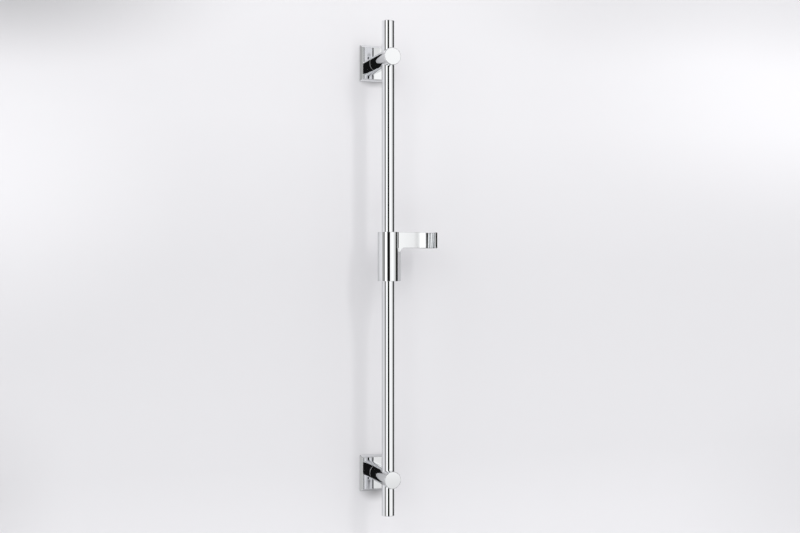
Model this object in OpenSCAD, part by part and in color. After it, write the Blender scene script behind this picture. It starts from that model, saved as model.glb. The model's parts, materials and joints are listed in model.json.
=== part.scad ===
// Shower slide rail: a round chromed rail held off the wall by two round posts on
// square bevelled plates, with a sliding and swivelling hand shower holder.
// X runs along the wall, -Y points away from the wall, Z is up.
// The origin is on the wall, behind the middle of the lower post.

/* [Rail] */
// Length of the rail, over its end caps
rail_l = 858; // [760:1:1200]
// Distance from each end of the rail to the axis of the nearer post
rail_overhang = 65; // [45:1:90]
// Outer diameter of the rail tube
rail_d = 22; // [19:0.5:25]
// Wall thickness of the rail tube
rail_wall = 1.5; // [1:0.1:2.5]
// Distance from the wall to the axis of the rail
rail_off = 63; // [56:1:80]
// Thickness of the visible head of an end cap
cap_head_t = 2; // [1.5:0.1:4]
// Rounding of the edge of an end cap
cap_edge_r = 0.9; // [0.3:0.1:1.2]
// Length of the plug of an end cap inside the tube
cap_plug_l = 12; // [6:1:25]
// Wall thickness of the plug of an end cap
cap_plug_wall = 2; // [1.2:0.1:3]

/* [Posts] */
// Diameter of a post
post_d = 30; // [28:0.5:36]
// Distance from the axis of the rail to the front face of a post
post_nose = 25; // [18:0.5:32]
// Chamfer round the front face of a post
post_edge = 0.7; // [0.3:0.1:1.5]
// Depth of the socket in the back of a post
socket_l = 24; // [18:1:26]
// Thickness of the washer between a post and its plate
washer_t = 0.8; // [0.5:0.1:1.5]
// How far the washer stays back from the side of the post
washer_step = 0.4; // [0.2:0.1:1]

/* [Wall plates] */
// Width and height of a square wall plate
plate_w = 64; // [60:1:80]
// Thickness of a wall plate
plate_t = 6; // [5:0.5:10]
// Width of the bevel round a wall plate
plate_bevel = 4.5; // [2:0.5:6]
// Height of the straight rim of a wall plate
plate_rim = 1.2; // [0.8:0.1:2]
// Sheet thickness of a wall plate
plate_wall = 1.5; // [1:0.1:2]

/* [Wall brackets] */
// Gap between the flange that is screwed to the wall and the inside of the plate
flange_gap = 3; // [1:0.5:4]
// Diameter of the spigot that carries the post
spigot_d = 18; // [14:0.5:20]
// Diameter of each hole for a wall screw
wall_hole_d = 5.2; // [4:0.1:5.5]
// Diameter of the countersink for the head of a wall screw
sink_d = 9.6; // [8:0.1:10]
// Depth of the countersink
sink_depth = 2.2; // [1.5:0.1:2.8]
// Depth of the groove that the lock screw bites into
groove_depth = 1.2; // [0.8:0.1:2]

/* [Screws] */
// Diameter of the lock screw under a post
lock_d = 5; // [4:0.5:6]
// Distance from the back of the post to the lock screw
lock_off = 9; // [7:0.5:12]
// Diameter of the screw that clamps the rail in a post
clamp_d = 6; // [5:0.5:6]
// Length of the screw that clamps the rail
clamp_l = 12; // [9:0.5:13]
// Thickness of the plastic pad between that screw and the rail
pad_t = 1.8; // [1:0.1:2.5]
// Width across the flats of the hexagon sockets
hex_w = 2.5; // [2:0.1:3]
// Depth of the hexagon sockets
hex_depth = 3; // [2:0.1:4]

/* [Holder] */
// Height of the middle of the holder above the lower post
holder_z = 384; // [120:1:520]
// Wall thickness of the holder's sleeve
sleeve_wall = 3; // [2.5:0.1:5]
// Height of the sleeve
sleeve_h = 85; // [70:1:110]
// Thickness of the inward lip at the top of the sleeve
lip_t = 2; // [1.5:0.1:4]
// Gap between that lip and the rail, all round
lip_gap = 0.8; // [0.6:0.1:1.5]
// Chamfer at the ends of the sleeve
sleeve_edge = 0.5; // [0.2:0.1:1]
// How far the fin stands out from the sleeve
fin_out = 5; // [4:0.5:8]
// Radius of the nose of the fin
fin_nose_r = 1.4; // [1:0.1:2]
// Height of the arm and the ring
arm_h = 27.5; // [20:0.5:40]
// Thickness of the arm
arm_t = 17.5; // [14:0.5:22]
// Fillet between the arm and the sleeve
arm_root_r = 5; // [2:0.5:7]
// Fillet between the fin and the lower edge of the arm
web_r = 7; // [4:0.5:14]

/* [Hand shower ring] */
// Distance from the rail's axis to the middle of the ring
ring_reach = 76; // [70:0.5:90]
// Outer diameter of the ring
ring_d = 36; // [34:0.5:40]
// Diameter of the conical seat at its upper end
seat_top_d = 25; // [23.5:0.1:26]
// Diameter of the conical seat at its lower end
seat_low_d = 22; // [20:0.1:23]
// Width of the slot that lets the hose in
slot_w = 18; // [15:0.5:19]
// Fillet between the back of the arm and the ring
ring_root_r = 14; // [6:0.5:16]

/* [Slide and brake inside the holder] */
// Height of each guide bush
bush_h = 14; // [8:1:20]
// Wall thickness of the guide bushes, between the rail and the sleeve
bush_wall = 4; // [4:0.1:6]
// Gap between the split brake sleeve and the bore of the holder, all round
brake_gap = 0.8; // [0.6:0.1:1.2]
// Width of the slots in the brake sleeve
brake_slot_w = 2; // [1:0.1:3]
// Length of the slots in the brake sleeve, as a share of its height
brake_slot_share = 0.72; // [0.4:0.02:0.8]
// Wire diameter of the spring rings round the brake sleeve
spring_d = 1.6; // [1:0.1:1.8]
// Thickness of the ring that holds the bushes in the sleeve
clip_t = 1.2; // [1:0.1:1.6]
// Radial width of that ring
clip_w = 2.6; // [2:0.1:3]
// Distance from the lower end of the sleeve to that ring
clip_inset = 2.5; // [2:0.1:5]

/* [Hidden] */

// Clearances and the overrun of every cut
run_fit = 0.05;     // radial clearance of a part that slides or turns on another
screw_fit = 0.05;   // radial clearance round a screw
end_fit = 0.1;      // gap between faces that pass each other
bite = 0.05;        // how far a fillet's curve runs into the faces that it joins
over = 1;           // overrun of cuts

// Smoothness
fine = 128;
medium = 64;
hexagon = 6;

// Heights
rail_z0 = -rail_overhang;
lower_z = 0;
upper_z = rail_l - 2 * rail_overhang;

// Radii
rail_r = rail_d / 2;
rail_bore_r = rail_r - rail_wall;
post_r = post_d / 2;
spigot_r = spigot_d / 2;
sleeve_bore_r = rail_r + bush_wall;
sleeve_r = sleeve_bore_r + sleeve_wall;
ring_r = ring_d / 2;
lock_r = lock_d / 2;
clamp_r = clamp_d / 2;

// Depths from the wall, along the axis of a post
flange_t = plate_t - plate_wall;
flange_r = plate_w / 2 - plate_wall - plate_bevel - flange_gap;
wall_hole_pitch = spigot_r + flange_r;
post_back = plate_t + washer_t;
post_front = rail_off + post_nose;
socket_end = post_back + socket_l;
spigot_end = socket_end - end_fit;
lock_y = post_back + lock_off;
pad_end = rail_off - rail_r - run_fit;
clamp_end = pad_end - pad_t - run_fit;
groove_w = lock_d;
point_share = 0.4;
point_end_r = spigot_r - groove_depth * (1 - point_share) + end_fit;
hex_r = hex_w / sqrt(3);

// Inside of the sleeve, from its lower end
holder_low = holder_z - sleeve_h / 2;
lip_r = rail_r + lip_gap;
clip_top = clip_inset + clip_t;
clip_r = sleeve_bore_r + clip_w / 4;
bush_low_z = clip_top + end_fit;
bush_top_z = sleeve_h - lip_t - end_fit - bush_h;
brake_z = bush_low_z + bush_h + end_fit;
brake_h = bush_top_z - end_fit - brake_z;
brake_r = sleeve_bore_r - brake_gap;
spring_r = brake_r - spring_d / 4;
spring_groove_w = spring_d + 2 * run_fit;
spring_groove_r = spring_r - spring_d / 2 - run_fit;
spring_place_shares = [0.25, 0.75];
slot_count = 6;
clip_gap_w = 2 * clip_w;

// Fin: its flats run from the sleeve to the round nose
fin_reach = sleeve_r + fin_out;
nose_x = fin_reach - fin_nose_r;
fin_a = acos((sleeve_r - fin_nose_r) / nose_x);

// Arm: the ring is set back so far that the lips of its slot end in the arm's front face
arm_half = arm_t / 2;
ring_set = sqrt(pow(ring_r, 2) - pow(slot_w / 2, 2)) - arm_half;
root_x = sqrt(pow(sleeve_r + arm_root_r, 2) - pow(arm_half + arm_root_r, 2));
blend_y = arm_half + ring_root_r - ring_set;
blend_x = ring_reach - sqrt(pow(ring_r + ring_root_r, 2) - pow(blend_y, 2));
web_x = nose_x - fin_nose_r;

module rail_tube() {
    color("silver")
    translate([0, -rail_off, rail_z0 + cap_head_t])
    difference() {
        cylinder(r = rail_r, h = rail_l - 2 * cap_head_t, $fn = fine);
        translate([0, 0, -over])
        cylinder(r = rail_bore_r, h = rail_l + 2 * over, $fn = fine);
    }
}

// End cap with its plug pointing down; the outer edge of the head is rounded
module rail_cap() {
    rotate_extrude($fn = fine)
    difference() {
        union() {
            square([rail_r, cap_head_t - cap_edge_r]);
            square([rail_r - cap_edge_r, cap_head_t]);
            intersection() {
                translate([rail_r - cap_edge_r, cap_head_t - cap_edge_r])
                circle(r = cap_edge_r, $fn = medium);
                square([rail_r, cap_head_t]);
            }
            translate([0, -cap_plug_l])
            square([rail_bore_r - run_fit, cap_plug_l]);
        }
        translate([-over, -cap_plug_l - over])
        square([rail_bore_r - cap_plug_wall + over, cap_plug_l + over]);
    }
}

module rail_cap_top() {
    color("silver")
    translate([0, -rail_off, rail_z0 + rail_l - cap_head_t])
    rail_cap();
}

module rail_cap_bottom() {
    color("silver")
    translate([0, -rail_off, rail_z0 + cap_head_t])
    mirror([0, 0, 1]) rail_cap();
}

// Puts a piece that is drawn along +Z from the wall on the axis of the post at height z
module on_wall(z) {
    translate([0, 0, z]) rotate([90, 0, 0]) children();
}

// Round post: socket for the spigot, tapped hole for the rail screw, cross bore
// for the rail and a tapped hole for the lock screw underneath
module post() {
    difference() {
        rotate_extrude($fn = fine)
        polygon([[0, post_back], [post_r, post_back], [post_r, post_front - post_edge],
                 [post_r - post_edge, post_front], [0, post_front]]);
        translate([0, 0, post_back - over])
        cylinder(r = spigot_r + run_fit, h = socket_l + over, $fn = fine);
        translate([0, 0, socket_end - over])
        cylinder(r = clamp_r + screw_fit, h = rail_off - socket_end + over, $fn = medium);
        translate([0, post_r + over, rail_off]) rotate([90, 0, 0])
        cylinder(r = rail_r + run_fit, h = post_d + 2 * over, $fn = fine);
        translate([0, 0, lock_y]) rotate([90, 0, 0])
        cylinder(r = lock_r + screw_fit, h = post_r + over, $fn = medium);
    }
}

module upper_post() { color("silver") on_wall(upper_z) post(); }
module lower_post() { color("silver") on_wall(lower_z) post(); }

// Square block with a straight rim and bevelled sides: two extruded outlines crossed
module bevelled_block(w, t, rim, bevel) {
    outline = [[-w / 2, 0], [w / 2, 0], [w / 2, rim], [w / 2 - bevel, t],
               [-w / 2 + bevel, t], [-w / 2, rim]];
    intersection() {
        translate([0, w / 2, 0]) rotate([90, 0, 0])
        linear_extrude(w) polygon(outline);
        translate([-w / 2, 0, 0]) rotate([90, 0, 90])
        linear_extrude(w) polygon(outline);
    }
}

// Pressed plate: a hollow bevelled block with a hole for the spigot
module wall_plate() {
    difference() {
        bevelled_block(plate_w, plate_t, plate_rim, plate_bevel);
        translate([0, 0, -over])
        bevelled_block(plate_w - 2 * plate_wall, plate_t - plate_wall + over,
                       plate_rim + over, plate_bevel);
        cylinder(r = spigot_r + 2 * end_fit, h = plate_t + over, $fn = fine);
    }
}

module upper_wall_plate() { color("silver") on_wall(upper_z) wall_plate(); }
module lower_wall_plate() { color("silver") on_wall(lower_z) wall_plate(); }

// Flange with two countersunk holes and a grooved spigot
module wall_bracket() {
    difference() {
        union() {
            cylinder(r = flange_r, h = flange_t, $fn = fine);
            cylinder(r = spigot_r, h = spigot_end, $fn = fine);
        }
        rotate_extrude($fn = fine)
        polygon([[spigot_r + over, lock_y - groove_w / 2], [spigot_r, lock_y - groove_w / 2],
                 [spigot_r - groove_depth, lock_y], [spigot_r, lock_y + groove_w / 2],
                 [spigot_r + over, lock_y + groove_w / 2]]);
        for (side = [-1, 1]) translate([side * wall_hole_pitch / 2, 0, 0]) {
            translate([0, 0, -over])
            cylinder(d = wall_hole_d, h = flange_t + 2 * over, $fn = medium);
            translate([0, 0, flange_t - sink_depth])
            cylinder(d1 = wall_hole_d, d2 = sink_d, h = sink_depth, $fn = medium);
        }
    }
}

module upper_wall_bracket() { color("goldenrod") on_wall(upper_z) wall_bracket(); }
module lower_wall_bracket() { color("goldenrod") on_wall(lower_z) wall_bracket(); }

// Plastic washer that keeps the post off the plate's chrome; it shows as a thin light line
module post_washer() {
    translate([0, 0, plate_t])
    difference() {
        cylinder(r = post_r - washer_step, h = washer_t, $fn = fine);
        translate([0, 0, -over])
        cylinder(r = spigot_r + 2 * end_fit, h = washer_t + 2 * over, $fn = fine);
    }
}

module upper_post_washer() { color("whitesmoke") on_wall(upper_z) post_washer(); }
module lower_post_washer() { color("whitesmoke") on_wall(lower_z) post_washer(); }

// Headless screw along +Z with a pointed end at the top and a hexagon socket below
module headless_screw(r, l, point_l, point_r) {
    difference() {
        union() {
            cylinder(r = r, h = l - point_l, $fn = medium);
            translate([0, 0, l - point_l])
            cylinder(r1 = r, r2 = point_r, h = point_l, $fn = medium);
        }
        translate([0, 0, -over])
        cylinder(r = hex_r, h = hex_depth + over, $fn = hexagon);
    }
}

// The lock screw lies just inside the post's surface and ends in the spigot's groove
module lock_screw() {
    point_l = lock_d * point_share;
    translate([0, -post_r + post_edge, lock_y]) rotate([-90, 0, 0])
    headless_screw(lock_r, post_r - post_edge - point_end_r, point_l, lock_r * point_share);
}

module upper_lock_screw() { color("dimgray") on_wall(upper_z) lock_screw(); }
module lower_lock_screw() { color("dimgray") on_wall(lower_z) lock_screw(); }

// The rail screw sits in the post's tapped hole and presses the pad on the rail
module rail_screw() {
    translate([0, 0, clamp_end - clamp_l])
    headless_screw(clamp_r, clamp_l, post_edge, clamp_r - post_edge);
}

module upper_rail_screw() { color("dimgray") on_wall(upper_z) rail_screw(); }
module lower_rail_screw() { color("dimgray") on_wall(lower_z) rail_screw(); }

module rail_pad() {
    translate([0, 0, pad_end - pad_t])
    cylinder(r = clamp_r - screw_fit, h = pad_t, $fn = medium);
}

module upper_rail_pad() { color("whitesmoke") on_wall(upper_z) rail_pad(); }
module lower_rail_pad() { color("whitesmoke") on_wall(lower_z) rail_pad(); }

// Puts a piece of the holder on the rail, measured from the sleeve's lower end
module on_rail() {
    translate([0, -rail_off, holder_low]) children();
}

// Outside of the sleeve, with chamfered ends
module sleeve_shell() {
    rotate_extrude($fn = fine)
    polygon([[0, 0], [sleeve_r - sleeve_edge, 0], [sleeve_r, sleeve_edge],
             [sleeve_r, sleeve_h - sleeve_edge], [sleeve_r - sleeve_edge, sleeve_h],
             [0, sleeve_h]]);
}

// Tapered fin along the whole sleeve, ending in a round nose
module fin() {
    root = (sleeve_r - bite) * [cos(fin_a), sin(fin_a)];
    tip = (fin_nose_r - bite) * [cos(fin_a), sin(fin_a)] + [nose_x, 0];
    linear_extrude(sleeve_h - arm_h + over)
    polygon([root, tip, [tip[0], -tip[1]], [root[0], -root[1]]]);
    translate([nose_x, 0, 0])
    cylinder(r = fin_nose_r, h = sleeve_h - arm_h + over, $fn = medium);
}

// Corner between the line y = arm_half and a circle, filled up to a fillet of radius r
// centred at c; the circle is centred at m
module fillet_corner(c, m, r, circle_r) {
    foot = [c[0], 0];
    touch = m + (c - m) * circle_r / norm(c - m);
    difference() {
        polygon([foot, c, touch, m]);
        translate(c) circle(r = r + bite, $fn = fine);
    }
}

// Plan of the arm and the solid ring, with the fillets at the sleeve and behind the ring
module arm_plan() {
    translate([0, -arm_half]) square([ring_reach, arm_t]);
    translate([ring_reach, ring_set]) circle(r = ring_r, $fn = fine);
    for (side = [0, 1]) mirror([0, side])
        fillet_corner([root_x, arm_half + arm_root_r], [0, 0], arm_root_r, sleeve_r);
    fillet_corner([blend_x, arm_half + ring_root_r], [ring_reach, ring_set],
                  ring_root_r, ring_r);
}

// Web that carries the fillet from the fin into the lower edge of the arm
module web() {
    translate([0, arm_half, 0]) rotate([90, 0, 0])
    linear_extrude(arm_t)
    difference() {
        translate([0, -web_r]) square([web_x + web_r, web_r + over]);
        translate([web_x + web_r, -web_r]) circle(r = web_r, $fn = fine);
    }
}

// Sleeve, fin, arm and slotted ring, cast as one piece
module holder_body() {
    color("silver") on_rail()
    difference() {
        union() {
            sleeve_shell();
            fin();
            translate([0, 0, sleeve_h - arm_h]) {
                linear_extrude(arm_h) arm_plan();
                web();
            }
        }
        translate([0, 0, -over])
        cylinder(r = sleeve_bore_r, h = sleeve_h - lip_t + over, $fn = fine);
        translate([0, 0, -over])
        cylinder(r = lip_r, h = sleeve_h + 2 * over, $fn = fine);
        translate([0, 0, clip_inset])
        cylinder(r = clip_r + run_fit, h = clip_t + end_fit, $fn = fine);
        translate([ring_reach, ring_set, sleeve_h - arm_h]) {
            translate([0, 0, -over])
            cylinder(d = seat_low_d, h = 2 * over, $fn = fine);
            cylinder(d1 = seat_low_d, d2 = seat_top_d, h = arm_h, $fn = fine);
            translate([0, 0, arm_h - over])
            cylinder(d = seat_top_d, h = 2 * over, $fn = fine);
            translate([-slot_w / 2, -ring_d, -over])
            cube([slot_w, ring_d, arm_h + 2 * over]);
        }
    }
}

module guide_bush(z) {
    on_rail() translate([0, 0, z])
    difference() {
        cylinder(r = sleeve_bore_r - run_fit, h = bush_h, $fn = fine);
        translate([0, 0, -over])
        cylinder(r = rail_r + run_fit, h = bush_h + 2 * over, $fn = fine);
    }
}

module guide_bush_top() { color("whitesmoke") guide_bush(bush_top_z); }
module guide_bush_bottom() { color("whitesmoke") guide_bush(bush_low_z); }

// Split sleeve that grips the rail, with slots from both ends and grooves for its springs
module brake_sleeve() {
    slot_l = brake_h * brake_slot_share;
    color("gray") on_rail() translate([0, 0, brake_z])
    difference() {
        cylinder(r = brake_r, h = brake_h, $fn = fine);
        translate([0, 0, -over])
        cylinder(r = rail_r + run_fit, h = brake_h + 2 * over, $fn = fine);
        for (share = spring_place_shares)
            translate([0, 0, share * brake_h - spring_groove_w / 2])
            difference() {
                cylinder(r = brake_r + over, h = spring_groove_w, $fn = fine);
                cylinder(r = spring_groove_r, h = spring_groove_w, $fn = fine);
            }
        for (i = [1 : slot_count - 1]) rotate(i * 360 / slot_count)
            translate([0, -brake_slot_w / 2, i % 2 == 0 ? -over : brake_h - slot_l])
            cube([brake_r + over, brake_slot_w, slot_l + over]);
        translate([0, -brake_slot_w / 2, -over])
        cube([brake_r + over, brake_slot_w, brake_h + 2 * over]);
    }
}

module brake_spring_rings() {
    color("lightgray") on_rail()
    for (share = spring_place_shares)
        translate([0, 0, brake_z + share * brake_h])
        rotate_extrude($fn = fine)
        translate([spring_r, 0]) circle(d = spring_d, $fn = medium / 2);
}

// Open ring in the groove below the lower bush
module retaining_ring() {
    color("dimgray") on_rail() translate([0, 0, clip_inset + end_fit / 2])
    difference() {
        cylinder(r = clip_r, h = clip_t, $fn = fine);
        translate([0, 0, -over])
        cylinder(r = clip_r - clip_w, h = clip_t + 2 * over, $fn = fine);
        translate([0, -clip_gap_w / 2, -over])
        cube([sleeve_r, clip_gap_w, clip_t + 2 * over]);
    }
}

rail_tube();
rail_cap_top();
rail_cap_bottom();
upper_post();
upper_wall_plate();
upper_wall_bracket();
upper_post_washer();
upper_lock_screw();
upper_rail_screw();
upper_rail_pad();
lower_post();
lower_wall_plate();
lower_wall_bracket();
lower_post_washer();
lower_lock_screw();
lower_rail_screw();
lower_rail_pad();
holder_body();
guide_bush_top();
guide_bush_bottom();
brake_sleeve();
brake_spring_rings();
retaining_ring();
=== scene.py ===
import json
import math

import bpy
import numpy as np
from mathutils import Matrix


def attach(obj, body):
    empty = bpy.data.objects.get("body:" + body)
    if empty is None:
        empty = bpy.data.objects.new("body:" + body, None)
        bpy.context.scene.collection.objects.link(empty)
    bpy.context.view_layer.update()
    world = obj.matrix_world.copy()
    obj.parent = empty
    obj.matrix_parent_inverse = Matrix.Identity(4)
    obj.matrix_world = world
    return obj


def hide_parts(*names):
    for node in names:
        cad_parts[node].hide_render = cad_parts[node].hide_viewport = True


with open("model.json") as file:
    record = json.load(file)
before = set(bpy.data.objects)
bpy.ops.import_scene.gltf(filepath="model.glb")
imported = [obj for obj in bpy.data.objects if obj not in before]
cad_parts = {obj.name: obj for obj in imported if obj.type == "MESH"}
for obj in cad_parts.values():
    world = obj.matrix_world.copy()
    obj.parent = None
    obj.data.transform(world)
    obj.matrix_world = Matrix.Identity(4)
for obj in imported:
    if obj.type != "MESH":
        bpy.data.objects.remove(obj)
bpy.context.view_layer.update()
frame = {"nodes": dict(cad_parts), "record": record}

# Sizes of the part in metres. The wall is the plane y = 0, the room is on its -y side,
# z is up, and the axis of the rail is x = 0, y = RAIL_Y. Names that end in _EDGE or
# _EDGES are the radii of softened edges.
RAIL_Y = -0.063
RAIL_R, RAIL_BORE_R, RAIL_EDGE = 0.011, 0.0095, 0.00006
RAIL_LOW, RAIL_HIGH = -0.065, 0.793
CAP_HEAD, CAP_EDGE = 0.002, 0.0009
PLUG_R, PLUG_BORE_R, PLUG_LENGTH = 0.00945, 0.00745, 0.012
CAP_EDGES = [0, CAP_EDGE, RAIL_EDGE, 0.0002, 0.0003, 0.0003, 0.0002, 0]
POST_HEIGHTS = {"lower": 0.0, "upper": 0.728}
POST_R, POST_BACK, POST_FRONT, POST_EDGE = 0.015, 0.0068, 0.088, 0.0011
SOCKET_R, SOCKET_END, SOCKET_EDGE = 0.00905, 0.0308, 0.0002
PLATE_HALF, PLATE_T, PLATE_BEVEL, PLATE_RIM, PLATE_SHEET = 0.032, 0.006, 0.004, 0.0012, 0.0015
PLATE_CORNER_R, PLATE_HOLE_R = 0.0006, 0.0092
PLATE_EDGES = [0, 0.0006, 0.0009, 0.00025, 0.0002, 0.0003, 0.0003, 0]
HOLE_FRONT_EDGE, HOLE_BACK_EDGE = 0.0002, 0.0001
SLEEVE_LOW, SLEEVE_HIGH, SLEEVE_R, SLEEVE_BORE = 0.3415, 0.4267, 0.018, 0.015
SLEEVE_EDGE, LIP_R, LIP_T = 0.0005, 0.0118, 0.002
SLEEVE_EDGES = [0.0003, SLEEVE_EDGE, SLEEVE_EDGE, 0.0004, 0.0002, 0.0003]
ROOT_R = SLEEVE_R - SLEEVE_EDGE          # the fin and the arm end this deep in the sleeve
ARM_LOW, ARM_HALF, ARM_ROOT_R, ARM_EDGE = 0.3992, 0.00875, 0.005, 0.0005
FIN_NOSE_X, FIN_NOSE_R, FIN_LOW_EDGE, FIN_HIGH_EDGE = 0.0216, 0.0014, 0.0005, 0.0003
WEB_X, WEB_R, WEB_FOOT_EDGE, WEB_SIDE_EDGE, WEB_BACK_X = 0.0202, 0.007, 0.0004, 0.0005, 0.0154
FIN_LAP, WEB_LAP = 0.001, 0.002          # their upper ends lie this deep in the arm
HAIR = 0.00001                           # keeps the web's faces off those of fin and arm
RING_X, RING_R, RING_ROOT_R, SLOT_HALF = 0.0752, 0.0175, 0.014, 0.009
RING_SET = math.sqrt(RING_R ** 2 - SLOT_HALF ** 2) - ARM_HALF   # the ring lies this far back
SLOT_OUTER_EDGE, SLOT_INNER_EDGE = 0.0008, 0.0005
SEAT_TOP_R, SEAT_LOW_R = 0.0125, 0.011
ROOT_POINTS = 9                          # points of an outline that lie in the sleeve


# ---------------------------------------------------------------- shapes

def arc(centre, radius, start, end, count, side=1):
    """Points at centre + radius * (cos t, sin t) for t from start to end in degrees, and
    their unit normals, which point away from the centre, or to it where side is -1."""
    t = np.radians(np.linspace(start, end, count))
    ray = np.stack([np.cos(t), np.sin(t)], axis=1)
    return np.asarray(centre) + radius * ray, side * ray


def line(a, b, count=2):
    """Points from a to b, and the unit normal on the right-hand side of that direction."""
    a, b = np.asarray(a, float), np.asarray(b, float)
    d = (b - a) / np.linalg.norm(b - a)
    share = np.linspace(0, 1, count)[:, None]
    return a + share * (b - a), np.tile([d[1], -d[0]], (count, 1))


def joined(*runs):
    """Runs of points and normals laid end to end."""
    return np.concatenate([r[0] for r in runs]), np.concatenate([r[1] for r in runs])


def rounded(corners, radii, closed=False, steps=5):
    """A path through corners, each replaced by an arc of its own radius that touches both
    sides. Normals are on the right-hand side and turn evenly from one side to the next:
    n(s) = (sin((1 - s) a) n0 + sin(s a) n1) / sin a, where a is the turn at the corner."""
    c = np.asarray(corners, float)
    r = np.broadcast_to(np.asarray(radii, float), len(c))
    step = np.roll(c, -1, axis=0) - c
    out = step / np.linalg.norm(step, axis=1)[:, None]
    back = np.roll(out, 1, axis=0)
    n0 = np.stack([back[:, 1], -back[:, 0]], axis=1)
    n1 = np.stack([out[:, 1], -out[:, 0]], axis=1)
    cross = back[:, 0] * out[:, 1] - back[:, 1] * out[:, 0]
    turn = np.arctan2(np.abs(cross), (back * out).sum(axis=1))
    sign = np.sign(cross)[:, None, None]
    first = c - back * (r * np.tan(turn / 2))[:, None]
    s = np.linspace(0, 1, steps)[None, :, None]
    a = turn[:, None, None]
    n = (np.sin((1 - s) * a) * n0[:, None] + np.sin(s * a) * n1[:, None]) / np.sin(a)
    radius = r[:, None, None]
    points = first[:, None] - sign * radius * n0[:, None] + sign * radius * n
    if closed:
        return points.reshape(-1, 2), n.reshape(-1, 2)
    inner = slice(1, len(c) - 1)
    points = np.concatenate([c[:1], points[inner].reshape(-1, 2), c[-1:]])
    return points, np.concatenate([n1[:1], n[inner].reshape(-1, 2), n0[-1:]])


def skin(points, normals, loop=False):
    """Quads between neighbouring rows of points, each row closed round. A row that has
    shrunk to one point becomes a pole, and loop joins the last row to the first."""
    rows, cols = points.shape[:2]
    i = np.arange(rows if loop else rows - 1)[:, None]
    j = np.arange(cols)[None, :]
    ids = np.arange(rows * cols).reshape(rows, cols)
    if not loop:
        for end in (0, -1):
            if np.ptp(points[end], axis=0).max() < 1e-9:
                ids[end] = ids[end, 0]
    below, after = (i + 1) % rows, (j + 1) % cols
    quads = np.stack(np.broadcast_arrays(ids[i, j], ids[i, after], ids[below, after],
                                         ids[below, j]), axis=-1).reshape(-1, 4)
    p, n = points.reshape(-1, 3), normals.reshape(-1, 3)
    facing = np.cross(p[quads[:, 2]] - p[quads[:, 0]], p[quads[:, 3]] - p[quads[:, 1]])
    away = (facing * n[quads].sum(axis=1)).sum(axis=1) < 0
    quads[away] = quads[away][:, ::-1]
    return p, n, [list(dict.fromkeys(q)) for q in quads.tolist()]


def lid(row, p, n):
    """One flat face over a closed row of points, turned to the side of their normals. Its
    own normal is half the sum of p x q over neighbouring points p and q."""
    ring = p[row]
    facing = np.cross(ring, np.roll(ring, -1, axis=0)).sum(axis=0)
    return row.tolist() if facing @ n[row].sum(axis=0) > 0 else row[::-1].tolist()


def turned(profile, normals, place, count=160):
    """A profile of (radius, height) turned round its axis: (r cos t, r sin t, h). place
    moves such points to where the axis is; it also turns the normals."""
    t = np.arange(count) * 2 * math.pi / count
    cos, sin = np.cos(t)[None, :], np.sin(t)[None, :]

    def spun(v):
        return np.stack([v[:, :1] * cos, v[:, :1] * sin,
                         np.broadcast_to(v[:, 1:], (len(v), count))], axis=-1)
    return place(spun(profile), False), place(spun(normals), True)


def on_rail(v, is_normal):
    """Places a turned shape on the rail's axis: (x, y + RAIL_Y, z)."""
    return v if is_normal else v + np.array([0.0, RAIL_Y, 0.0])


def from_wall(z):
    """Places a shape whose height is its distance from the wall on a post's axis:
    (x, -height, y + z)."""
    def place(v, is_normal):
        w = np.stack([v[..., 0], -v[..., 2], v[..., 1]], axis=-1)
        return w if is_normal else w + np.array([0.0, 0.0, z])
    return place


def with_height(flat, height):
    """Rows of flat points (x, y) made (x, y, h), with one height h for each row."""
    return np.concatenate([flat, np.broadcast_to(height[:, None, None], flat.shape[:2] + (1,))],
                          axis=-1)


def raised(outline, normals, low, high, rim_low, rim_high, shown, taper=None, steps=5):
    """A closed outline raised from low to high. Each level is the outline moved inwards by
    rim * (1 - sin t) along its normals while the height goes by rim * (1 - cos t), so both
    ends are rounded by a quarter circle; shown is 0 where a point keeps its place. taper
    gives the outline's own sideways change at each height."""
    def quarter(rim):
        t = np.linspace(0, math.pi / 2, steps)
        return rim * (1 - np.sin(t)), rim * (1 - np.cos(t)), np.sin(t), np.cos(t)
    inset_a, rise_a, side_a, up_a = quarter(rim_low)
    inset_b, rise_b, side_b, up_b = (v[::-1] for v in quarter(rim_high))
    inset = np.concatenate([inset_a, inset_b])
    z = np.concatenate([low + rise_a, high - rise_b])
    side = np.concatenate([side_a, side_b])
    up = np.concatenate([-up_a, up_b])
    flat = np.broadcast_to(outline, (len(z),) + outline.shape)
    if taper is not None:
        flat = flat + taper(z)
    points = with_height(flat - (inset[:, None] * shown)[..., None] * normals, z)
    n = with_height(side[:, None, None] * normals, up)
    return points, n / np.linalg.norm(n, axis=-1, keepdims=True)


def all_but_last(outline, count):
    """1 for each point of an outline, and 0 for its last points, which are out of sight."""
    return (np.arange(len(outline)) < len(outline) - count).astype(float)


def capped(points, normals):
    """The rows of a raised outline with a flat face over each end."""
    p, n, faces = skin(points, normals)
    ids = np.arange(len(p)).reshape(-1, points.shape[1])
    return p, n, faces + [lid(ids[0], p, n), lid(ids[-1], p, n)]


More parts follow.
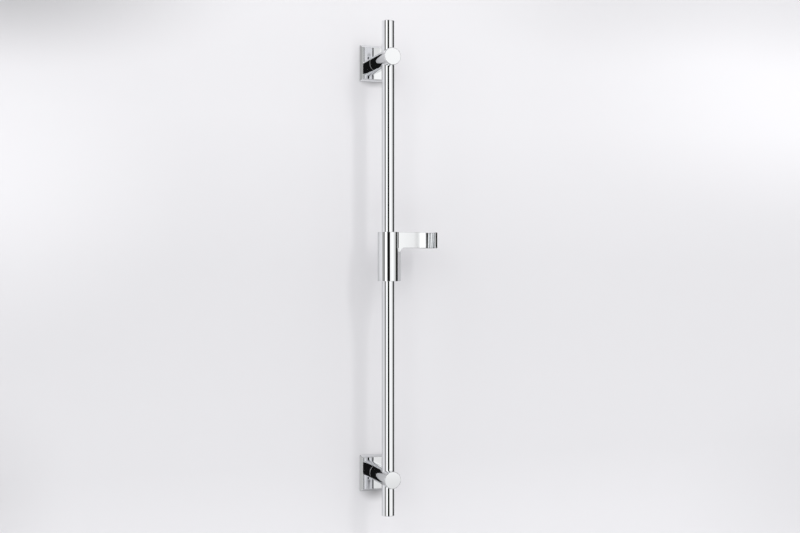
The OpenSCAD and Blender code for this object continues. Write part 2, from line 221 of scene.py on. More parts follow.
def add_piece(name, shells, slot, body, nodes):
    """One object from closed shells of points, normals and faces, which stands for nodes."""
    points, normals, faces, base = [], [], [], 0
    for p, n, f in shells:
        points.append(p)
        normals.append(n)
        faces += [[k + base for k in face] for face in f]
        base += len(p)
    points, normals = np.concatenate(points), np.concatenate(normals)
    used, inverse = np.unique(np.concatenate([np.asarray(f) for f in faces]),
                              return_inverse=True)
    ends = np.cumsum([len(f) for f in faces])
    faces = [chunk.tolist() for chunk in np.split(inverse, ends[:-1])]
    points, normals = points[used], normals[used]
    normals /= np.linalg.norm(normals, axis=1)[:, None]
    mesh = bpy.data.meshes.new(name)
    mesh.from_pydata(points.tolist(), [], faces)
    mesh.polygons.foreach_set("use_smooth", np.ones(len(faces), bool))
    mesh.normals_split_custom_set_from_vertices(normals.tolist())
    mesh.validate()
    mesh.materials.append(FINISHES[slot])
    piece = bpy.data.objects.new(name, mesh)
    bpy.context.scene.collection.objects.link(piece)
    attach(piece, body)
    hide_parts(*nodes)


# ---------------------------------------------------------------- node trees

def maths_on(tree):
    """A function that adds a calculation on numbers or sockets to a node tree."""
    def maths(kind, a, b=None):
        node = tree.nodes.new("ShaderNodeMath")
        node.operation = kind
        for socket, value in zip(node.inputs, (a, b)):
            if value is None:
                continue
            if isinstance(value, (int, float)):
                socket.default_value = value
            else:
                tree.links.new(value, socket)
        return node.outputs["Value"]
    return maths


def spread(tree, source, low, high, first, last, smooth=False):
    """A number from first to last that follows a source from low to high."""
    node = tree.nodes.new("ShaderNodeMapRange")
    if smooth:
        node.interpolation_type = "SMOOTHSTEP"
    for name, value in (("From Min", low), ("From Max", high), ("To Min", first),
                        ("To Max", last)):
        node.inputs[name].default_value = value
    tree.links.new(source, node.inputs["Value"])
    return node.outputs["Result"]


def graph(tree, source, points):
    """A number read off a line graph through points (source, value)."""
    low, high = points[0][0], points[-1][0]
    scale = max(value for _, value in points)
    ramp = tree.nodes.new("ShaderNodeValToRGB")
    ramp.color_ramp.interpolation = "LINEAR"
    stops = ramp.color_ramp.elements
    while len(stops) > 1:
        stops.remove(stops[-1])
    for index, (at, value) in enumerate(points):
        place = (at - low) / (high - low)
        stop = stops[0] if index == 0 else stops.new(place)
        stop.position = place
        stop.color = (value / scale, value / scale, value / scale, 1)
    tree.links.new(spread(tree, source, low, high, 0, 1), ramp.inputs["Fac"])
    return maths_on(tree)("MULTIPLY", ramp.outputs["Color"], scale)


def tinted(tree, source, dark, light):
    """A colour from dark to light that follows a number from 0 to 1."""
    mix = tree.nodes.new("ShaderNodeMix")
    mix.data_type = "RGBA"
    mix.inputs["A"].default_value = (*dark, 1.0)
    mix.inputs["B"].default_value = (*light, 1.0)
    tree.links.new(source, mix.inputs["Factor"])
    return mix.outputs["Result"]


def object_noise(tree, scale, detail=4.0, stretch=(1, 1, 1)):
    """Noise on Object coordinates."""
    place = tree.nodes.new("ShaderNodeTexCoord")
    mapping = tree.nodes.new("ShaderNodeMapping")
    mapping.inputs["Scale"].default_value = stretch
    noise = tree.nodes.new("ShaderNodeTexNoise")
    noise.inputs["Scale"].default_value = scale
    noise.inputs["Detail"].default_value = detail
    tree.links.new(place.outputs["Object"], mapping.inputs["Vector"])
    tree.links.new(mapping.outputs["Vector"], noise.inputs["Vector"])
    return noise.outputs["Fac"]


def place_parts(tree, source):
    """The x, y and z of a place or a direction."""
    split = tree.nodes.new("ShaderNodeSeparateXYZ")
    tree.links.new(tree.nodes.new("ShaderNodeTexCoord").outputs[source], split.inputs["Vector"])
    return split.outputs["X"], split.outputs["Y"], split.outputs["Z"]


# ---------------------------------------------------------------- materials

def new_material(name, colour, roughness, metallic=0.0):
    """A material with a plain shader, its node tree and the shader."""
    material = bpy.data.materials.new(name)
    material.use_nodes = True
    tree = material.node_tree
    shader = tree.nodes["Principled BSDF"]
    shader.inputs["Base Color"].default_value = (*colour, 1.0)
    shader.inputs["Roughness"].default_value = roughness
    shader.inputs["Metallic"].default_value = metallic
    return material, tree, shader


def bumped(tree, source, shader, distance, strength=1.0):
    """A fine relief under a shader."""
    bump = tree.nodes.new("ShaderNodeBump")
    bump.inputs["Distance"].default_value = distance
    bump.inputs["Strength"].default_value = strength
    tree.links.new(source, bump.inputs["Height"])
    tree.links.new(bump.outputs["Normal"], shader.inputs["Normal"])


def make_chrome():
    """Bright mirror plating: nearly smooth, with a faint haze that comes and goes."""
    material, tree, shader = new_material("polished_chrome", (0.86, 0.87, 0.88), 0.02, 1.0)
    haze = object_noise(tree, 45.0)
    tree.links.new(spread(tree, haze, 0, 1, 0.008, 0.03), shader.inputs["Roughness"])
    tree.links.new(tinted(tree, haze, (0.85, 0.86, 0.87), (0.87, 0.88, 0.89)),
                   shader.inputs["Base Color"])
    return material


def make_brass():
    """Turned brass: fine rings from the tool and a slightly uneven tone."""
    material, tree, shader = new_material("turned_brass", (0.72, 0.55, 0.28), 0.32, 1.0)
    tone = object_noise(tree, 120.0)
    tree.links.new(tinted(tree, tone, (0.66, 0.49, 0.24), (0.77, 0.6, 0.33)),
                   shader.inputs["Base Color"])
    rings = object_noise(tree, 400.0, 2.0, (1, 9, 1))
    tree.links.new(spread(tree, rings, 0, 1, 0.24, 0.42), shader.inputs["Roughness"])
    bumped(tree, rings, shader, 0.00005, 0.4)
    return material


def make_steel():
    """Plain steel with a satin grain."""
    material, tree, shader = new_material("satin_steel", (0.42, 0.42, 0.43), 0.35, 1.0)
    grain = object_noise(tree, 600.0, 3.0, (1, 1, 4))
    tree.links.new(tinted(tree, grain, (0.36, 0.36, 0.37), (0.48, 0.48, 0.49)),
                   shader.inputs["Base Color"])
    tree.links.new(spread(tree, grain, 0, 1, 0.26, 0.42), shader.inputs["Roughness"])
    bumped(tree, grain, shader, 0.00004, 0.4)
    return material


def make_plastic(name, dark, light, roughness):
    """Moulded plastic with a fine even grain."""
    material, tree, shader = new_material(name, light, roughness)
    grain = object_noise(tree, 900.0, 3.0)
    tree.links.new(tinted(tree, grain, dark, light), shader.inputs["Base Color"])
    tree.links.new(spread(tree, grain, 0, 1, roughness - 0.06, roughness + 0.08),
                   shader.inputs["Roughness"])
    bumped(tree, grain, shader, 0.00003, 0.5)
    return material


FINISHES = {
    "chrome": make_chrome(),
    "brass": make_brass(),
    "steel": make_steel(),
    "white_plastic": make_plastic("white_plastic", (0.8, 0.8, 0.78), (0.88, 0.88, 0.86), 0.42),
    "grey_plastic": make_plastic("grey_plastic", (0.32, 0.33, 0.34), (0.37, 0.38, 0.39), 0.48),
}


def dress_nodes():
    """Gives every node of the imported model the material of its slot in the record."""
    slots = {part["node"]: part["material_slot"] for part in frame["record"]["subparts"]}
    for name, slot in slots.items():
        mesh = frame["nodes"][name].data
        if not mesh.materials:
            mesh.materials.append(FINISHES[slot])
        for index in range(len(mesh.materials)):
            mesh.materials[index] = FINISHES[slot]


# ---------------------------------------------------------------- rail and posts

def make_rail():
    """Tube: outside, upper end, bore and lower end as one closed profile, turned."""
    low, high = RAIL_LOW + CAP_HEAD, RAIL_HIGH - CAP_HEAD
    path, normals = rounded([(RAIL_R, low), (RAIL_R, high), (RAIL_BORE_R, high),
                             (RAIL_BORE_R, low)], RAIL_EDGE, closed=True, steps=3)
    add_piece("tube", [skin(*turned(path, normals, on_rail), loop=True)],
              "chrome", "rail", ["rail_tube"])


def make_cap(name, node, end, way):
    """End cap: the head's profile with a rounded edge, and its plug inside the tube, turned.
    way is 1 where the head looks up and -1 where it looks down."""
    plug_end = -CAP_HEAD - PLUG_LENGTH
    path, normals = rounded([(0, 0), (RAIL_R, 0), (RAIL_R, -CAP_HEAD), (PLUG_R, -CAP_HEAD),
                             (PLUG_R, plug_end), (PLUG_BORE_R, plug_end),
                             (PLUG_BORE_R, -CAP_HEAD), (0, -CAP_HEAD)], CAP_EDGES, steps=7)
    path, normals = path * [1, way] + [0, end], -normals * [1, way]
    add_piece(name, [skin(*turned(path, normals, on_rail))], "chrome", "rail", [node])


def make_post(side, z):
    """Post: front face, softened edge, side, back face and the socket, turned."""
    path, normals = rounded([(0, POST_FRONT), (POST_R, POST_FRONT), (POST_R, POST_BACK),
                             (SOCKET_R, POST_BACK), (SOCKET_R, SOCKET_END), (0, SOCKET_END)],
                            [0, POST_EDGE, SOCKET_EDGE, SOCKET_EDGE, SOCKET_EDGE, 0], steps=7)
    add_piece(side + "_post_body", [skin(*turned(path, -normals, from_wall(z)))],
              "chrome", "rail", [side + "_post"])


def make_plate(side, z):
    """Plate: a square for each point (half-width h, height) of a pressed section, which
    runs over the face, bevel and rim and back along the inside of the sheet. With corner
    radius c, a square's corner is at (h - c) both ways plus c * (cos t, sin t) for a quarter
    turn. The round hole's edges are circles with one point in the direction of each of the
    square's points."""
    inner, under = PLATE_HALF - PLATE_SHEET, PLATE_T - PLATE_SHEET
    section, section_n = rounded(
        [(0, PLATE_T), (PLATE_HALF - PLATE_BEVEL, PLATE_T), (PLATE_HALF, PLATE_RIM),
         (PLATE_HALF, 0), (inner, 0), (inner, PLATE_RIM), (inner - PLATE_BEVEL, under),
         (0, under)], PLATE_EDGES, steps=5)
    half, height = section[1:-1].T
    outward, up = -section_n[1:-1].T
    steps = 9
    quarters = np.repeat([(1, -1), (1, 1), (-1, 1), (-1, -1)], steps, axis=0)
    _, ray = joined(*[arc((0, 0), 1.0, start, start + 90, steps)
                      for start in (-90, 0, 90, 180)])
    squares = quarters * (half[:, None, None] - PLATE_CORNER_R) + ray * PLATE_CORNER_R
    points = with_height(squares, height)
    normals = with_height(ray * outward[:, None, None], up)

    way = squares[0] / np.linalg.norm(squares[0], axis=1)[:, None]
    r, h, r_n, h_n = np.array([
        (PLATE_HOLE_R, under + HOLE_BACK_EDGE, -1, 0),
        (PLATE_HOLE_R, PLATE_T - HOLE_FRONT_EDGE, -1, 0),
        (PLATE_HOLE_R + HOLE_FRONT_EDGE, PLATE_T, 0, 1),
        (PLATE_HOLE_R + HOLE_BACK_EDGE, under, 0, -1)]).T
    hole = with_height(way * r[:, None, None], h)
    hole_n = with_height(way * r_n[:, None, None], h_n)
    points = np.concatenate([hole[:3], points, hole[3:]])
    normals = np.concatenate([hole_n[:3], normals, hole_n[3:]])
    place = from_wall(z)
    add_piece(side + "_plate", [skin(place(points, False), place(normals, True), loop=True)],
              "chrome", "rail", [side + "_wall_plate"])


# ---------------------------------------------------------------- holder

def sleeve_shell():
    """Sleeve: bore, outside and the lip at its upper end as one closed profile, turned."""
    lip_low = SLEEVE_HIGH - LIP_T
    path, normals = rounded(
        [(SLEEVE_BORE, SLEEVE_LOW), (SLEEVE_R, SLEEVE_LOW), (SLEEVE_R, SLEEVE_HIGH),
         (LIP_R, SLEEVE_HIGH), (LIP_R, lip_low), (SLEEVE_BORE, lip_low)],
        SLEEVE_EDGES, closed=True, steps=6)
    return skin(*turned(path, normals, on_rail, 192), loop=True)


def fin_shell():
    """Fin: from above, two straight sides that touch the sleeve's circle and the nose's.
    They leave both at the angle whose cosine is the difference of the two radii over the
    distance of the two centres. The outline is raised from the sleeve's lower end."""
    lean = math.degrees(math.acos((SLEEVE_R - FIN_NOSE_R) / FIN_NOSE_X))
    tangent = np.array([math.cos(math.radians(lean)), math.sin(math.radians(lean))])
    mirror = np.array([1, -1])
    nose = np.array([FIN_NOSE_X, 0.0])
    front = line(tangent * mirror * SLEEVE_R, nose + tangent * mirror * FIN_NOSE_R, 3)
    tip = arc(nose, FIN_NOSE_R, -lean, lean, 17)
    back = line(nose + tangent * FIN_NOSE_R, tangent * SLEEVE_R, 3)
    root = arc((0, 0), ROOT_R, lean, -lean, ROOT_POINTS, -1)
    outline, n = joined(front, tip, back, root)
    return capped(*raised(outline + [0.0, RAIL_Y], n, SLEEVE_LOW, ARM_LOW + FIN_LAP,
                          FIN_LOW_EDGE, FIN_HIGH_EDGE, all_but_last(outline, ROOT_POINTS)))


def arm_shell():
    """Arm and ring: from above, the fillets at the sleeve, the flat front, the slot with
    its softened edges, the ring and the curve that joins its back to the arm's. A fillet of
    radius f between a circle of radius r and a line at distance h has its centre at h + f
    from that line's parallel through the circle's centre, and sqrt((r + f)^2 - (h + f)^2)
    along it. The outline is raised, and the seat's radius grows evenly with the height."""
    blend_y = ARM_HALF + RING_ROOT_R
    root_y = ARM_HALF + ARM_ROOT_R
    root_x = math.sqrt((SLEEVE_R + ARM_ROOT_R) ** 2 - root_y ** 2)
    blend_dx = math.sqrt((RING_R + RING_ROOT_R) ** 2 - (blend_y - RING_SET) ** 2)
    start = math.degrees(math.atan2(root_y, -root_x))
    swing = math.degrees(math.atan2(blend_y - RING_SET, blend_dx))
    mouth, lip = SLOT_OUTER_EDGE, SLOT_INNER_EDGE
    mouth_x, lip_x = SLOT_HALF + mouth, SLOT_HALF + lip
    corner = np.array([mouth_x, -math.sqrt((RING_R - mouth) ** 2 - mouth_x ** 2)])
    opening = math.degrees(math.atan2(corner[1], corner[0]))
    ring = np.array([RING_X, RING_SET])
    root_front = arc((root_x, -root_y), ARM_ROOT_R, start, 90, 13, -1)
    mouth_left = arc((RING_X - mouth_x, mouth - ARM_HALF), mouth, 270, 360, 9)
    mouth_right = arc(ring + corner, mouth, 180, 360 + opening, 9)
    outer = arc(ring, RING_R, opening, 180 - swing, 129)
    blend_back = arc((RING_X - blend_dx, blend_y), RING_ROOT_R, -swing, -90, 17, -1)
    root_back = arc((root_x, root_y), ARM_ROOT_R, -90, -start, 13, -1)
    root = arc((0, 0), ROOT_R, 180 - start, start - 180, ROOT_POINTS, -1)

    def plan(radius):
        """The outline for one radius of the conical seat."""
        side = np.array([lip_x, -math.sqrt((radius + lip) ** 2 - lip_x ** 2)])
        end = math.degrees(math.atan2(side[1], -side[0]))
        left = arc(ring + side * [-1, 1], lip, 0, 180 + end, 7)
        seat = arc(ring, radius, 360 + end, -180 - end, 97, -1)
        right = arc(ring + side, lip, -end, 180, 7)
        return joined(root_front, mouth_left, left, seat, right, mouth_right, outer,
                      blend_back, root_back, root)

    low_plan, n = plan(SEAT_LOW_R)
    high_plan, _ = plan(SEAT_TOP_R)

    def cone(z):
        share = (z - ARM_LOW) / (SLEEVE_HIGH - ARM_LOW)
        return share[:, None, None] * (high_plan - low_plan)[None]

    return capped(*raised(low_plan + [0.0, RAIL_Y], n, ARM_LOW, SLEEVE_HIGH, ARM_EDGE,
                          ARM_EDGE, all_but_last(low_plan, ROOT_POINTS), cone))


def web_shell():
    """Web: from the room, a round hollow under the arm and a small foot on the fin. The
    outline is raised through the arm's thickness, from its front to its back."""
    low = ARM_LOW - WEB_R + HAIR
    top, centre_x = ARM_LOW + WEB_LAP, WEB_X + WEB_R
    end = 180 - math.degrees(math.asin(WEB_FOOT_EDGE / WEB_R))
    hollow = arc((centre_x, low), WEB_R, 90, end, 21, -1)
    foot = arc((hollow[0][-1, 0] - WEB_FOOT_EDGE, low + WEB_FOOT_EDGE), WEB_FOOT_EDGE, 0, -90, 5)
    behind = (np.array([[WEB_BACK_X, low], [WEB_BACK_X, top], [centre_x, top]]),
              np.array([[0.0, -1], [-1, 0], [1, 0]]))
    outline, n = joined(hollow, foot, behind)
    half = ARM_HALF - 2 * HAIR

    def stand(v, is_normal):
        return on_rail(np.stack([v[..., 0], v[..., 2], v[..., 1]], axis=-1), is_normal)

    points, normals = raised(outline, n, -half, half, WEB_SIDE_EDGE, WEB_SIDE_EDGE,
                             all_but_last(outline, 2))
    return capped(stand(points, False), stand(normals, True))


def make_holder():
    """The casting: a turned sleeve, and fin, arm with ring, and web, which run into it."""
    add_piece("holder_casting", [sleeve_shell(), fin_shell(), arm_shell(), web_shell()],
              "chrome", "holder", ["holder_body"])


# ---------------------------------------------------------------- wall, floor and card

# The room's sizes in metres. The wall's face is a hair behind the plates.
ROOM_HALF, ROOM_DEPTH, WALL_Y, FLOOR_Z, WALL_TOP = 3, 2.4, 0.0003, -0.9, 2.4
WALL_COLOUR = (0.828, 0.818, 0.834)
# Painted light and shade on the wall: its brightness by z, and then soft painted pools of light
# and shade by their centre (x, z), half-sizes (x, z) and how much lighter they are. The sixth is
# painted light along the rail, and the last two are painted shadows below the plates.
WALL_PAINTED_LIGHT_BY_Z = [(-0.2, 1.02), (-0.09, 0.99), (0.02, 0.945), (0.13, 0.945), (0.24, 0.94),
             (0.37, 0.945), (0.52, 0.995), (0.63, 1.035), (0.74, 1.04), (0.9, 1.065)]
WALL_PAINTED_POOLS = [
    ((-0.7, 0.49), (0.42, 0.29), 0.13), ((0.92, 0.71), (0.62, 0.3), 0.12),
    ((-0.66, 0.84), (0.46, 0.17), -0.42), ((0.45, 0.88), (0.4, 0.16), -0.1),
    ((0.9, 0.9), (0.5, 0.16), -0.12), ((0.03, 0.35), (0.14, 0.7), 0.065),
    ((-0.68, -0.02), (0.17, 0.22), -0.09), ((0.98, -0.12), (0.45, 0.25), -0.07),
    ((-0.003, -0.032), (0.036, 0.024), -0.45), ((-0.003, 0.696), (0.036, 0.013), -0.36)]
# Painted shade on the wall that only mirrors see, how much darker: by x, up to a height between
# the two given, and round the plates, where it fades out over PLATE_HALO.
MIRRORED_PAINTED_SHADE = [(-0.11, 0.0), (-0.06, 0.22), (0.0, 0.22), (0.03, 0.05), (0.1, 0.28),
                     (0.5, 0.28)]
MIRRORED_SHADE_TOP = (0.735, 0.755)
PLATE_HALO, HALO_PAINTED_SHADE = 0.006, 0.4
PLATE_COVER = PLATE_HALF - 0.001         # the wall is clear behind this much of a plate

FLOOR_COLOUR, FAR_FLOOR_COLOUR = (0.82, 0.825, 0.83), (0.1, 0.1, 0.1)
FAR_FLOOR = (-0.5, -0.3)                 # mirrors see a dark floor beyond these y
# The card's near and far edge (x, y), its lower and upper z, and its colour.
CARD_NEAR, CARD_FAR, CARD_LOW, CARD_HIGH = (0.15, -0.001), (0.5, -0.178), -0.2, 0.93
CARD_COLOUR = (0.012, 0.012, 0.012)


def sheet(name, corners, material):
    """One flat face through four corners."""
    mesh = bpy.data.meshes.new(name)
    mesh.from_pydata(corners, [], [(0, 1, 2, 3)])
    mesh.materials.append(material)
    piece = bpy.data.objects.new(name, mesh)
    bpy.context.scene.collection.objects.link(piece)
    return piece


def painted_light_on_wall(tree):
    """The wall's painted light and shade at each place, with painted shade that only mirrors see,
    and whether a plate hides it.
    """
    maths = maths_on(tree)
    x, _, z = place_parts(tree, "Object")
    # painted light and shade by height, and then painted pools of light and shade
    tone = graph(tree, z, WALL_PAINTED_LIGHT_BY_Z)
    for (centre_x, centre_z), (half_x, half_z), gain in WALL_PAINTED_POOLS:
        across = maths("DIVIDE", maths("SUBTRACT", x, centre_x), half_x)
        along = maths("DIVIDE", maths("SUBTRACT", z, centre_z), half_z)
        far = maths("SQRT", maths("ADD", maths("MULTIPLY", across, across),
                                  maths("MULTIPLY", along, along)))
        tone = maths("ADD", tone, spread(tree, far, 0.0, 1.0, gain, 0.0, True))
    lower, upper = (maths("MAXIMUM", maths("ABSOLUTE", x),
                          maths("ABSOLUTE", maths("SUBTRACT", z, height)))
                    for height in POST_HEIGHTS.values())
    from_plate = maths("MINIMUM", lower, upper)
    # painted shade that only mirrors see: by x, and round the plates
    dim = maths("MULTIPLY", graph(tree, x, MIRRORED_PAINTED_SHADE),
                spread(tree, z, *MIRRORED_SHADE_TOP, 1.0, 0.0))
    dim = maths("MAXIMUM", dim, spread(tree, from_plate, PLATE_HALF, PLATE_HALF + PLATE_HALO,
                                       HALO_PAINTED_SHADE, 0.0))
    mirrored = tree.nodes.new("ShaderNodeLightPath").outputs["Is Glossy Ray"]
    tone = maths("MULTIPLY", tone, maths("SUBTRACT", 1.0, maths("MULTIPLY", dim, mirrored)))
    return tone, maths("LESS_THAN", from_plate, PLATE_COVER)


def make_wall():
    """The wall, which shows only from the room, and not behind the plates, so that light
    from behind reaches their backs."""
    material = bpy.data.materials.new("painted_wall")
    material.use_nodes = True
    tree = material.node_tree
    tree.nodes.clear()
    out = tree.nodes.new("ShaderNodeOutputMaterial")
    paint = tree.nodes.new("ShaderNodeBsdfDiffuse")
    shade = tree.nodes.new("ShaderNodeVectorMath")
    shade.operation = "SCALE"
    shade.inputs[0].default_value = WALL_COLOUR
    # the wall's colour carries painted light and shade
    tone, hidden = painted_light_on_wall(tree)
    tree.links.new(tone, shade.inputs["Scale"])
    tree.links.new(shade.outputs["Vector"], paint.inputs["Color"])
    clear = tree.nodes.new("ShaderNodeBsdfTransparent")
    facing = tree.nodes.new("ShaderNodeNewGeometry")
    mix = tree.nodes.new("ShaderNodeMixShader")
    tree.links.new(maths_on(tree)("MAXIMUM", facing.outputs["Backfacing"], hidden),
                   mix.inputs["Fac"])
    tree.links.new(paint.outputs["BSDF"], mix.inputs[1])
    tree.links.new(clear.outputs["BSDF"], mix.inputs[2])
    tree.links.new(mix.outputs["Shader"], out.inputs["Surface"])
    wall = sheet("wall", [(-ROOM_HALF, WALL_Y, FLOOR_Z), (ROOM_HALF, WALL_Y, FLOOR_Z),
                          (ROOM_HALF, WALL_Y, WALL_TOP), (-ROOM_HALF, WALL_Y, WALL_TOP)],
                 material)


def make_floor():
    """The floor far below the rail. It is pale, and mirrors see its far part dark."""
    material, tree, shader = new_material("pale_floor", FLOOR_COLOUR, 0.7)
    shader.inputs["Specular IOR Level"].default_value = 0.0
    _, y, _ = place_parts(tree, "Object")
    path = tree.nodes.new("ShaderNodeLightPath")
    dark = maths_on(tree)("MULTIPLY", spread(tree, y, *FAR_FLOOR, 1.0, 0.0),
                          path.outputs["Is Glossy Ray"])
    tree.links.new(tinted(tree, dark, FLOOR_COLOUR, FAR_FLOOR_COLOUR),
                   shader.inputs["Base Color"])
    floor = sheet("floor", [(-ROOM_HALF, -ROOM_DEPTH, FLOOR_Z), (ROOM_HALF, -ROOM_DEPTH, FLOOR_Z),
                            (ROOM_HALF, WALL_Y, FLOOR_Z), (-ROOM_HALF, WALL_Y, FLOOR_Z)],
                  material)


def make_card():
    """A black card to the right of the rail that only mirrors see."""
    material, _, shader = new_material("black_card", CARD_COLOUR, 1.0)
    shader.inputs["Specular IOR Level"].default_value = 0.0
    card = sheet("dark_card", [(*CARD_NEAR, CARD_LOW), (*CARD_FAR, CARD_LOW),
                               (*CARD_FAR, CARD_HIGH), (*CARD_NEAR, CARD_HIGH)], material)
    card.visible_camera = False
    card.visible_diffuse = False
    card.visible_shadow = False
    card.visible_transmission = False


# ---------------------------------------------------------------- light and camera

# What mirrors see of the studio: degrees to the right of straight away from the wall, and
# the light there. Numbers in between are blended. The bands lean by BAND_LEAN degrees to
# the side for each degree up.
STUDIO_BANDS = [
    (-180, 0.84), (-92, 0.84), (-88, 0.66), (-84, 0.47), (-77, 0.35), (-68, 0.31), (-58, 0.28),
    (-53, 0.4), (-51, 1.1), (-49, 1.45), (-29.8, 1.5), (-27.2, 0.008), (0, 0.008), (3, 0.35),
    (6, 0.95), (9, 1.25), (14, 1.25), (19, 1.04), (22, 1.08), (28, 1.15), (38, 1.13),
    (46, 1.04), (56, 0.85), (62, 0.73), (68, 0.6), (74, 0.5), (80, 0.18), (84, 0.01),
    (112, 0.0), (115, 0.6), (180, 0.84)]
BAND_LEAN = 0.23
# The top edge of the bright field on the right: degrees to the right, degrees up. Over the
# next part of a degree the light falls to the given share.
FIELD_TOP = [(10, 40), (12, 40), (14.5, 9.8), (18.2, 9.8), (18.45, 11.6), (25, 11.8), (55, 12),
             (75, 40)]
ABOVE_FIELD = (-0.15, 0.25, 1.0, 0.77)
# The field's middle, by degrees to the right, and how much darker it is low down, by
# degrees up: left of DISC_SIDE, where the plates show it, and right of it, where the
# posts' round fronts do.
FIELD_MIDDLE = [(-180, 0), (11, 0), (14, 1), (21, 1), (24, 0), (180, 0)]
PLATE_DARKNESS = (-12.0, 3.0, 0.32, 0.0)
DISC_SIDE = (18.3, 18.5)
DISC_DARKNESS = [(-12, 0.3), (-10.6, 0.27), (-10.2, 0.21), (-9.9, 0.13), (-9.5, 0.07), (3, 0.0)]
# A thin grey upright with a bright edge, which the flat arm shows: its light by degrees to
# the right, and the degrees up and down where it ends.
UPRIGHT = [(18.9, 1.0), (19.3, 1.0), (19.88, 0.92), (19.97, 0.75), (20.11, 0.75), (20.14, 1.17),
           (20.8, 1.17), (21.5, 1.0)]
UPRIGHT_END = (4.0, 5.0)
# High up and low down the bands end in a dark belt, and above it is a pale ceiling.
BELT_START = (36.0, 46.0)
BELT_AND_CEILING = [(-90, 0.14), (68, 0.14), (76, 0.65), (90, 0.65)]

# The light on all that isn't a mirror, by the direction's z, and the colours of the light.
PLAIN_LIGHT = (-0.6, 0.6, 0.29, 1.235)
MIRROR_LIGHT_COLOUR, PLAIN_LIGHT_COLOUR = (1, 1, 1, 1), (0.985, 0.99, 1, 1)
BACKGROUND_COLOUR = (0.86, 0.865, 0.875, 1)

# Lamps: name, place, aim, width and height in metres, and watts.
LAMPS = [("key", (0.99, -2.04, 2.1), (0, -0.03, 0.35), (0.3, 1.6), 12),
         ("fill", (-1.6, -1.75, 1.6), (0, -0.03, 0.35), (0.3, 1.2), 3)]

CAMERA_PLACE, CAMERA_TURN = (-0.65317, -2.00332, 0.36696), -19.1826
CAMERA_FILM, CAMERA_LENS = 36.0, 53.102


def mirrored_studio(tree):
    """The light that mirrors see in each direction: the bands, each time changed by what
    the tables above tell."""
    maths = maths_on(tree)
    x, y, z = place_parts(tree, "Generated")
    degree = 180 / math.pi
    turn = maths("MULTIPLY", maths("ARCTAN2", x, maths("MULTIPLY", y, -1.0)), degree)
    rise = maths("MULTIPLY", maths("ARCSINE", z), degree)
    off_level = maths("ABSOLUTE", rise)
    leaning = maths("ADD", turn, maths("MULTIPLY", rise, BAND_LEAN))
    bands = graph(tree, leaning, STUDIO_BANDS)

    above = maths("SUBTRACT", rise, graph(tree, turn, FIELD_TOP))
    bands = maths("MULTIPLY", bands, spread(tree, above, *ABOVE_FIELD))

    on_disc = spread(tree, turn, *DISC_SIDE, 0.0, 1.0)
    low = maths("ADD", maths("MULTIPLY", spread(tree, rise, *PLATE_DARKNESS),
                             maths("SUBTRACT", 1.0, on_disc)),
                maths("MULTIPLY", on_disc, graph(tree, rise, DISC_DARKNESS)))
    middle = graph(tree, turn, FIELD_MIDDLE)
    bands = maths("MULTIPLY", bands, maths("SUBTRACT", 1.0, maths("MULTIPLY", middle, low)))

    streak = maths("MULTIPLY", spread(tree, off_level, *UPRIGHT_END, 1.0, 0.0),
                   maths("SUBTRACT", graph(tree, turn, UPRIGHT), 1.0))
    bands = maths("MULTIPLY", bands, maths("ADD", 1.0, streak))

    belt = spread(tree, off_level, *BELT_START, 0.0, 1.0, True)
    return maths("ADD", maths("MULTIPLY", bands, maths("SUBTRACT", 1.0, belt)),
                 maths("MULTIPLY", belt, graph(tree, rise, BELT_AND_CEILING)))


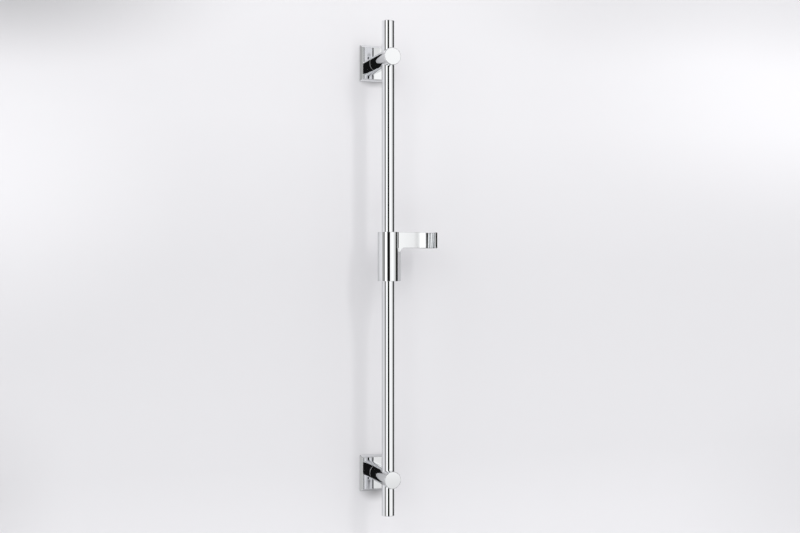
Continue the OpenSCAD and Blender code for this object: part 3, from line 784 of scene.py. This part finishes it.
def make_world():
    """The light from all round: one for mirrors, a soft white one, brighter from above, for
    all else, and a pale background for the camera."""
    world = bpy.data.worlds.new("studio")
    bpy.context.scene.world = world
    world.use_nodes = True
    tree = world.node_tree
    tree.nodes.clear()
    out = tree.nodes.new("ShaderNodeOutputWorld")

    def light(colour):
        node = tree.nodes.new("ShaderNodeBackground")
        node.inputs["Color"].default_value = colour
        return node

    mirror_light, plain_light = light(MIRROR_LIGHT_COLOUR), light(PLAIN_LIGHT_COLOUR)
    seen_light = light(BACKGROUND_COLOUR)
    _, _, z = place_parts(tree, "Generated")
    tree.links.new(mirrored_studio(tree), mirror_light.inputs["Strength"])
    tree.links.new(spread(tree, z, *PLAIN_LIGHT), plain_light.inputs["Strength"])
    path = tree.nodes.new("ShaderNodeLightPath")
    lit = tree.nodes.new("ShaderNodeMixShader")
    seen = tree.nodes.new("ShaderNodeMixShader")
    tree.links.new(path.outputs["Is Glossy Ray"], lit.inputs["Fac"])
    tree.links.new(plain_light.outputs["Background"], lit.inputs[1])
    tree.links.new(mirror_light.outputs["Background"], lit.inputs[2])
    tree.links.new(path.outputs["Is Camera Ray"], seen.inputs["Fac"])
    tree.links.new(lit.outputs["Shader"], seen.inputs[1])
    tree.links.new(seen_light.outputs["Background"], seen.inputs[2])
    tree.links.new(seen.outputs["Shader"], out.inputs["Surface"])


def make_lamp(name, place, aim, size, power):
    """A soft, tall lamp that faces its aim and that neither mirrors nor the camera see."""
    light = bpy.data.lights.new(name, "AREA")
    light.shape = "RECTANGLE"
    light.size, light.size_y = size
    light.energy = power
    lamp = bpy.data.objects.new(name, light)
    lamp.location = place
    way = np.asarray(place) - np.asarray(aim)
    flat = math.hypot(way[0], way[1])
    lamp.rotation_euler = (math.atan2(flat, way[2]), 0, math.atan2(way[0], -way[1]))
    lamp.visible_glossy = False
    lamp.visible_camera = False
    bpy.context.scene.collection.objects.link(lamp)


def make_camera():
    """The camera, level and turned to the right, at the place the photo was taken from."""
    camera = bpy.data.cameras.new("camera")
    camera.sensor_width = CAMERA_FILM
    camera.lens = CAMERA_LENS
    camera.clip_end = 50.0
    view = bpy.data.objects.new("camera", camera)
    view.location = CAMERA_PLACE
    view.rotation_euler = (math.radians(90), 0, math.radians(CAMERA_TURN))
    bpy.context.scene.collection.objects.link(view)
    bpy.context.scene.camera = view


dress_nodes()
make_rail()
make_cap("top_cap", "rail_cap_top", RAIL_HIGH, 1)
make_cap("bottom_cap", "rail_cap_bottom", RAIL_LOW, -1)
for side, z in POST_HEIGHTS.items():
    make_post(side, z)
    make_plate(side, z)
make_holder()
make_wall()
make_floor()
make_card()
make_world()
for lamp in LAMPS:
    make_lamp(*lamp)
make_camera()
bpy.context.scene.view_settings.view_transform = "Standard"
